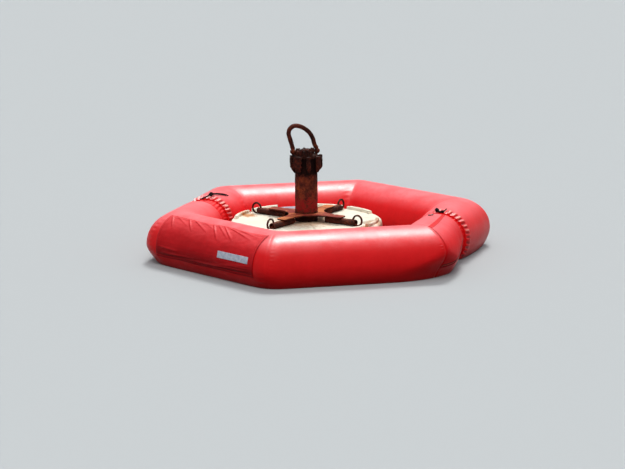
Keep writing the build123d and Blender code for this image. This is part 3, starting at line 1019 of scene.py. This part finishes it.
banner = {
    "span": (0.020, 1.395),
    "angles": (-15, 70),
    "lift": 0.0035,
    "thickness": 0.0014,
    "hem": 0.026,
    "hemLift": 0.0012,
    "endLift": (0.004, 0.02),  # height and width of the edge at the front corner
    # height of each ripple, how close along and across, and seed
    "ripples": ((0.0030, 5.0, 9.0, 4.2), (0.0012, 17.0, 30.0, 1.7)),
    # where a wrinkle starts at the top hem, how far it runs on, how far down, its height and width
    "wrinkles": (
        (0.050, 0.135, 30, 0.0082, 0.009),
        (0.100, 0.280, 20, 0.0052, 0.010),
        (0.285, 0.170, 28, 0.0088, 0.009),
        (0.350, 0.320, 24, 0.0062, 0.010),
        (0.480, 0.280, 16, 0.0045, 0.011),
        (0.640, 0.200, 34, 0.0092, 0.009),
        (0.700, 0.260, 26, 0.0060, 0.010),
        (0.790, 0.250, 30, 0.0088, 0.009),
        (0.830, 0.440, 20, 0.0070, 0.010),
        (0.900, 0.460, 12, 0.0052, 0.010),
    ),
    # long creases along the bottom: middle, half length, angle, rise, height and width
    "creases": (
        (0.34, 0.26, -4.0, 3.0, 0.0085, 0.011),
        (0.62, 0.34, -8.0, 2.0, 0.0095, 0.010),
        (0.98, 0.36, -5.5, 3.5, 0.0110, 0.010),
        (1.12, 0.24, -0.5, 4.0, 0.0085, 0.010),
        (1.20, 0.17, 4.0, 5.0, 0.0060, 0.010),
        (0.20, 0.16, 1.5, -3.0, 0.0065, 0.011),
        (0.80, 0.20, -11.5, 1.0, 0.0070, 0.009),
    ),
}


def bannerPoint(reach, angle, lift):
    # reach along the straight side, turned into the tube's own distance so that it follows the skin
    side = ring["side"]
    stretch = ring["tube"] * cos(radians(angle)) * tan(radians(30))
    distance = (reach + stretch) * side / (side + 2 * stretch)
    skin = max(0.0, tubeLift("near", 1, min(distance, side), angle))
    return tubePoint("near", 1, distance, angle, lift + skin)


def arcOf(angle):
    return radians(angle) * ring["tube"]


def nearestOnLine(point, start, end):
    line = end - start
    share = min(1.0, max(0.0, (point - start).dot(line) / line.length_squared))
    side = line.normalized().cross(Vector((0, 0, 1))).dot(point - start)
    return share, (point - start - line * share).length, side


def bannerLift(reach, angle):
    arc, top = arcOf(angle), arcOf(banner["angles"][1])
    point = Vector((reach, arc, 0))
    lift = banner["lift"]
    for start, run, down, height, width in banner["wrinkles"]:
        first, last = Vector((start, top + 0.004, 0)), Vector((start + run, top - arcOf(down), 0))
        share, gap, side = nearestOnLine(point, first, last)
        spread = width * (0.55 + 0.9 * share) * (0.7 if side > 0 else 1.25)
        lift += height * (1 - share) ** 0.7 * bell(gap, spread)
    for middle, half, level, rise, height, width in banner["creases"]:
        first = Vector((middle - half, arcOf(level - rise), 0))
        last = Vector((middle + half, arcOf(level), 0))
        share, gap, side = nearestOnLine(point, first, last)
        lift += height * sin(pi * share) ** 0.7 * bell(gap, width)
    for height, along, across, seed in banner["ripples"]:
        lift += height * ripple(reach * along, arc * across, seed)
    low, high = banner["span"]
    edge = min(reach - low, high - reach, arc - arcOf(banner["angles"][0]), top - arc)
    if edge < banner["hem"]:
        lift += banner["hemLift"]
    lift *= 0.35 + 0.65 * smoothStep(edge, 0.0, 0.03)
    height, width = banner["endLift"]
    return lift + height * bell(high - reach, width)


def buildBanner():
    low, high = banner["span"]
    bottom, top = banner["angles"]

    def place(u, v):
        reach = low + (high - low) * u
        edge = 1.2 * ripple(reach * 4.0, 0.0, 9.0)
        sag = 1.5 * sin(reach * 9.0 + 0.6) * smoothStep(v, 0.7, 1.0)
        angle = bottom + (top - bottom) * v + edge * smoothStep(abs(v - 0.5), 0.3, 0.5) + sag
        return bannerPoint(reach, angle, bannerLift(reach, angle))

    piece = gridPiece("banner", 300, 110, place, "banner", (high - low, 0.445))
    thicken(piece, banner["thickness"])
    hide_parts("banner_wrap")
    return piece


label = {
    "span": (0.905, 1.322),
    "angles": (7.5, 19.5),
    "length": 0.417,
    "lift": 0.0016,
    "thickness": 0.0006,
    # place along the strip, lean over its width, height and width
    "creases": (
        (0.300, 0.070, 0.0034, 0.011),
        (0.215, 0.040, 0.0018, 0.014),
        (0.365, -0.030, 0.0022, 0.009),
        (0.060, 0.050, 0.0018, 0.012),
    ),
}


def buildLabel():
    low, high = label["span"]
    bottom, top = label["angles"]

    def place(u, v):
        reach, angle = low + (high - low) * u, bottom + (top - bottom) * v
        lift = bannerLift(reach, angle) + label["lift"]
        for middle, lean, height, width in label["creases"]:
            lift += height * bell(u * label["length"] - middle - v * lean, width)
        return bannerPoint(reach, angle, lift)

    piece = gridPiece("blank_strip", 96, 24, place, "label", (label["length"], 0.063))
    thicken(piece, label["thickness"])
    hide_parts("blank_label")
    return piece


cover = {
    "start": 0.006,
    "endGap": 0.004,
    "angles": (-15, 78),
    "farAngle": 6,
    "radius": 0.28,
    "lift": 0.0034,
    "thickness": 0.0014,
    "hem": 0.024,
    "hemLift": 0.0012,
    "ripples": ((0.0014, 5, 7, 2.0), (0.0010, 14, 5, 6.0)),
    "roll": (0.0045, 0.012),  # height and width of the rolled bottom edge
    "fold": (0.0030, 0.030, 0.006),  # height, place and width of the fold above it
}


def buildCover():
    top = cover["angles"][1]
    first, last = cover["start"], sideLength("near", 3) - cover["endGap"]
    (roll, rollWidth), (fold, foldPlace, foldWidth) = cover["roll"], cover["fold"]

    def place(u, v):
        # the bottom hem runs level while the tube tapers
        distance = first + (last - first) * u
        bottom = cover["angles"][0] + (cover["farAngle"] - cover["angles"][0]) * smoothStep(u, 0.2, 1.0)
        angle = bottom + (top - bottom) * v
        arc, fromTop = radians(angle - bottom) * cover["radius"], radians(top - angle) * cover["radius"]
        lift = cover["lift"] + tubeLift("near", 3, distance, angle)
        for height, along, across, seed in cover["ripples"]:
            lift += height * ripple(distance * along, arc * across, seed)
        lift += roll * bell(arc, rollWidth) * (0.6 + 0.4 * sin(distance * 14))
        lift += cover["hemLift"] * smoothStep(fromTop, cover["hem"] - 0.002, cover["hem"] + 0.002)
        lift += fold * bell(arc - foldPlace, foldWidth)
        return tubePoint("near", 3, distance, angle, lift * (1 - 0.6 * smoothStep(u, 0.985, 1.0)))

    piece = gridPiece("cover_flap", 90, 96, place, "cover", (0.75, 0.45))
    thicken(piece, cover["thickness"])
    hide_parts("cover_panel")


bannerCloth = buildBanner()
buildLabel()
buildCover()

# Ties: free cords that come out of the knots

print("ties")

# points of a tie: reach along the laced leg, left of it, and level
ties = {
    "right_tie": {
        "lacing": "right",
        "rod": 0.006,
        "length": 0.196,
        "finish": "blackRope",
        "points": (
            (0.726, 0.038, 0.479), (0.690, 0.018, 0.469), (0.645, -0.015, 0.474), (0.606, -0.054, 0.488),
            (0.597, -0.082, 0.519),
        ),
    },
    "left_tie": {
        "lacing": "left",
        "rod": 0.006,
        "length": 0.215,
        "finish": "blackRope",
        "points": (
            (0.872, -0.036, 0.492), (0.930, -0.056, 0.486), (0.985, -0.085, 0.475), (1.020, -0.112, 0.464),
            (1.050, -0.142, 0.450),
        ),
    },
    "left_tail": {
        "lacing": "left",
        "rod": 0.004,
        "length": 0.224,
        "finish": "greyRope",
        "points": (
            (0.846, -0.020, 0.486), (0.815, 0.003, 0.474), (0.765, 0.025, 0.464), (0.700, 0.030, 0.468),
            (0.640, 0.012, 0.485),
        ),
    },
}


def tiePoints(lacing, points):
    places = []
    for reach, left, level in points:
        place = ringCorner(lacings[lacing]["corner"]) + laceHeading * reach + laceLeft * left
        places.append(Vector((place.x, place.y, level)))
    return places


def buildTie(name):
    tie = ties[name]
    curve = bpy.data.curves.new(name, "CURVE")
    curve.dimensions = "3D"
    curve.resolution_u = 10
    curve.bevel_depth = 1.0  # the points' own radius sets the thickness
    curve.bevel_resolution = 5
    curve.use_fill_caps = True
    spline = curve.splines.new("NURBS")
    spline.points.add(len(tie["points"]) - 1)
    route = tiePoints(tie["lacing"], tie["points"])
    for control, place in zip(spline.points, route):
        control.co = (*place, 1)
        control.radius = tie["rod"]
    spline.order_u = 3
    spline.use_endpoint_u = True
    piece = newObject(name + "_rope", curve, "inflatable_ring", tie["finish"])
    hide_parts(name)
    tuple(route[0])


for name in ties:
    buildTie(name)

# Knots of black line on top of both lacings

knots = {
    # lacing, where the row of loops starts and ends, rod of its loops, and each loop's ring radius,
    # tilt, turn and share of the way along the row
    "rows": (
        ("right", ((0.735, 0.044, 0.476), (0.700, 0.022, 0.474)), 0.0068,
         ((0.0135, 15, 0, -0.20), (0.0140, 75, 40, 0.0), (0.0120, -50, 100, 0.25), (0.0090, 35, 160, 0.60))),
        ("right", ((0.640, -0.018, 0.476), (0.606, -0.054, 0.492)), 0.0052,
         ((0.0085, -40, 50, 0.20), (0.0105, 60, 20, 0.45), (0.0095, 50, 120, 0.70), (0.0070, 80, 80, 0.95))),
        ("left", ((0.856, -0.028, 0.492), (0.890, -0.042, 0.492)), 0.0068,
         ((0.0135, 15, 0, -0.20), (0.0150, 78, 40, 0.0), (0.0140, -65, 100, 0.20), (0.0095, 35, 160, 0.70))),
    ),
    # turns of line whipped round each tie: tie, from, to, how many, ring radius and rod
    "wraps": (
        ("right_tie", 0.10, 0.74, 15, 0.0062, 0.0036),
        ("left_tie", 0.08, 0.90, 20, 0.0060, 0.0034),
        ("left_tail", 0.06, 0.62, 15, 0.0048, 0.0030),
    ),
    "lean": 22,
}


def tieRoute(name, share):
    # the same curve as the tie's: quadratic pieces that meet half way between its inner points
    points = tiePoints(ties[name]["lacing"], ties[name]["points"])
    pieces = len(points) - 2
    number = min(pieces - 1, int(share * pieces))
    t = share * pieces - number
    control = points[number + 1]
    before = points[0] if number == 0 else (points[number] + control) / 2
    after = points[-1] if number == pieces - 1 else (control + points[number + 2]) / 2
    place = before * (1 - t) ** 2 + control * 2 * t * (1 - t) + after * t * t
    return place, ((control - before) * (1 - t) + (after - control) * t).normalized()


def addLoop(bm, reach, rod, swing, place):
    # a torus round its own Z axis, turned by swing
    others = set(bm.verts)
    circle = bmesh.ops.create_circle(bm, segments=10, radius=rod)["verts"]
    moveVerts(bm, circle, Matrix.Rotation(radians(90), 3, "X"), (reach, 0, 0))
    edges = list({edge for vert in circle for edge in vert.link_edges})
    bmesh.ops.spin(
        bm, geom=circle + edges, cent=(0, 0, 0), axis=(0, 0, 1), angle=radians(360), steps=20,
        use_merge=True, use_duplicate=False,
    )
    moveVerts(bm, [vert for vert in bm.verts if vert not in others], swing, place)


def buildKnots():
    bm = bmesh.new()
    for lacing, points, rod, loops in knots["rows"]:
        start, end = tiePoints(lacing, points)
        for reach, tilt, turn, share in loops:
            swing = Matrix.Rotation(radians(turn), 3, "Z") @ Matrix.Rotation(radians(tilt), 3, "X")
            addLoop(bm, reach, rod, swing, start.lerp(end, share))
    for name, first, last, count, reach, rod in knots["wraps"]:
        for number in range(count):
            place, heading = tieRoute(name, first + (last - first) * number / (count - 1))
            lean = Matrix.Rotation(radians(knots["lean"] + random.uniform(-6, 6)), 3, "X")
            swing = heading.to_track_quat("Z", "Y").to_matrix() @ lean
            addLoop(bm, reach * random.uniform(0.94, 1.08), rod, swing, place)
    bmesh.ops.recalc_face_normals(bm, faces=bm.faces)
    piece = finishMesh(bm, "black_knots", "inflatable_ring", "blackRope")
    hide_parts("tie_knots")


buildKnots()

# Steel: copies of the plain parts with a crust of rust

print("steel")

# each plain part's piece, look, voxel size, swelling, height of the crust and depth of the pits
crusts = {
    "post": ("rusted_post", "post", 0.0065, 0.0, 0.0016, 0.0022),
    "head_ribs": ("rusted_ribs", "head", 0.0040, 0.0, 0.0040, 0.0050),
    "head_cap": ("rusted_cap", "lumps", 0.0040, 0.0, 0.0045, 0.0050),
    "bail": ("rusted_bail", "bail", 0.0035, 0.0008, 0.0013, 0.0016),
    "deck_cross": ("rusted_cross", "plate", 0.0045, 0.0, 0.0014, 0.0018),
    "arm_pipes": ("rusted_pipes", "arm", 0.0045, 0.0, 0.0020, 0.0022),
    "mooring_eyes": ("rusted_eyes", "arm", 0.0035, 0.0036, 0.0016, 0.0010),
}
ribs = {
    "angle": 42,
    "pitch": 45,
    "radius": (0.118, 0.142),
    "foot": (0.79, 0.86),
    # how much the outer edge has grown sideways, rib by rib from the first angle on
    "widen": (1.1, 1.5, 0.9, 1.0, 2.9, 0.7, 1.7, 1.2),
}
# the bail's bores stay clean: kept plain out to this distance from the pin, then fading in
pinAxis = {"level": 1.003, "keep": 0.021, "fade": 0.012}
capGrooves = {
    "count": 7,
    "turn": 35,
    "depth": 0.013,
    "sink": 0.004,
    "foot": (0.955, 0.975),
    "radius": (0.030, 0.062),
}


def widenRib(vert):
    # rust has swollen the ribs' outer edges into slabs
    reach, around = hypot(vert.co.x, vert.co.y), atan2(vert.co.y, vert.co.x)
    turn = degrees(around) - ribs["angle"] + ribs["pitch"] / 2
    off = radians(turn % ribs["pitch"] - ribs["pitch"] / 2)
    widen = ribs["widen"][int(turn // ribs["pitch"]) % len(ribs["widen"])]
    side = reach * sin(off) * widen * smoothStep(reach, *ribs["radius"])
    side *= 0.45 + 0.55 * smoothStep(vert.co.z, *ribs["foot"])
    vert.co += Vector((-sin(around), cos(around), 0)) * side


def grooveCap(vert):
    # the cap's edge has rusted away into lumps
    turn = atan2(vert.co.y, vert.co.x) * capGrooves["count"] + radians(capGrooves["turn"])
    cut = smoothStep(cos(turn), 0.2, 0.9) * smoothStep(vert.co.z, *capGrooves["foot"])
    edge = smoothStep(hypot(vert.co.x, vert.co.y), *capGrooves["radius"])
    vert.co -= Vector((vert.co.x, vert.co.y, 0)).normalized() * capGrooves["depth"] * cut * edge
    vert.co.z -= 0.6 * capGrooves["depth"] * cut * edge + capGrooves["sink"] * edge


def crustLift(point, crust, pits):
    rough = noise.noise(point * 34.0) * 0.55 + noise.noise(point * 85.0 + Vector((3.1, 0, 0))) * 0.45
    scale = max(0.0, noise.noise(point * 22.0 + Vector((0, 7.7, 0))) - 0.12)
    return crust * rough - pits * min(1.0, scale * 4.0) * 0.6


def remeshed(bm, voxel, passes, factor):
    # one even skin over everything in bm, smoothed
    mesh = bpy.data.meshes.new("draft")
    bm.to_mesh(mesh)
    bm.free()
    draft = bpy.data.objects.new("draft", mesh)
    scene.collection.objects.link(draft)
    skin = draft.modifiers.new("skin", "REMESH")
    skin.mode = "VOXEL"
    skin.voxel_size = voxel
    bpy.context.view_layer.update()
    whole = draft.evaluated_get(bpy.context.evaluated_depsgraph_get())
    bm = bmesh.new()
    bm.from_mesh(whole.to_mesh())
    bpy.data.objects.remove(draft)
    axes = {"use_axis_x": True, "use_axis_y": True, "use_axis_z": True}
    for step in range(passes):
        bmesh.ops.smooth_vert(bm, verts=bm.verts, factor=factor, **axes)
    bm.normal_update()
    return bm


def buildCrust(name):
    pieceName, look, voxel, swell, crust, pits = crusts[name]
    bm = bmesh.new()
    bm.from_mesh(cadNodes[name].data)
    bmesh.ops.remove_doubles(bm, verts=bm.verts, dist=1e-5)
    bmesh.ops.recalc_face_normals(bm, faces=bm.faces)
    bm = remeshed(bm, voxel, 2, 0.35)
    for vert in bm.verts:
        lift = swell + crustLift(vert.co, crust, pits)
        if name == "bail":
            gap = hypot(vert.co.y, vert.co.z - pinAxis["level"])
            lift *= smoothStep(gap, pinAxis["keep"], pinAxis["keep"] + pinAxis["fade"])
        vert.co += vert.normal * lift
        if name == "head_ribs":
            widenRib(vert)
        if name == "head_cap":
            grooveCap(vert)
    body = "lifting_bail" if name == "bail" else "mooring_buoy"
    piece = finishMesh(bm, pieceName, body, look)
    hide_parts(name)


for name in crusts:
    buildCrust(name)

# Lumps of rust and seized nut heads round the head, clear of the bail's swing
lumps = {
    "voxel": 0.0035,
    "crust": 0.0050,
    "pits": 0.0040,
    # collars round the pin between the cap and the bail: from, to along the pin, and radius
    "collars": ((-0.098, -0.060, 0.034), (0.048, 0.077, 0.033)),
    # x, y, base, top, half width, half depth
    "places": (
        (-0.092, -0.036, 0.950, 1.010, 0.017, 0.019),
        (-0.073, -0.072, 0.945, 1.022, 0.018, 0.019),
        (-0.043, -0.094, 0.940, 1.014, 0.017, 0.020),
        (-0.010, -0.102, 0.940, 1.026, 0.017, 0.019),
        (0.022, -0.100, 0.940, 1.012, 0.015, 0.020),
        (0.046, -0.096, 0.940, 0.972, 0.013, 0.018),
        (0.070, -0.080, 0.945, 0.974, 0.020, 0.020),
        (0.098, -0.046, 0.945, 0.972, 0.019, 0.020),
        (0.034, 0.098, 0.940, 1.012, 0.013, 0.018),
        (0.006, 0.102, 0.940, 1.022, 0.017, 0.018),
        (-0.028, 0.098, 0.940, 1.006, 0.017, 0.019),
        (-0.062, 0.084, 0.945, 1.018, 0.018, 0.018),
        (-0.088, 0.050, 0.950, 1.004, 0.017, 0.019),
        (0.076, 0.074, 0.945, 0.974, 0.020, 0.020),
    ),
}


def addStub(bm, sides, foot, head, depth):
    shape = {"segments": sides, "radius1": foot, "radius2": head, "depth": depth}
    return bmesh.ops.create_cone(bm, cap_ends=True, **shape)["verts"]


def buildLumps():
    bm = bmesh.new()
    for index, (x, y, base, top, wide, deep) in enumerate(lumps["places"]):
        turn = Matrix.Rotation(atan2(y, x) + 0.3 * index, 3, "Z")
        made = addStub(bm, 6 if index % 3 else 9, 1.0, 0.72, top - base)
        moveVerts(bm, made, turn, (x, y, (base + top) / 2), (wide, deep, 1.0))
    for first, last, radius in lumps["collars"]:
        made = addStub(bm, 11, radius, radius * 0.9, last - first)
        moveVerts(bm, made, Matrix.Rotation(radians(90), 3, "Y"), ((first + last) / 2, 0, pinAxis["level"]))
    bm = remeshed(bm, lumps["voxel"], 3, 0.5)
    for vert in bm.verts:
        vert.co += vert.normal * crustLift(vert.co, lumps["crust"], lumps["pits"])
    finishMesh(bm, "head_lumps", "mooring_buoy", "lumps")


buildLumps()

# Finishes of the plain parts that show as they are

plainParts = {
    "inflation_valve": "valve",
    "float_quarters": "float",
    "bail_pin": "bail",
    "keel_cross": "keel",
    "keel_flange": "keel",
    "chain_lug": "keel",
}
for name, finish in plainParts.items():
    for place in cadNodes[name].material_slots:
        place.material = finishes[finish]

print("finished")
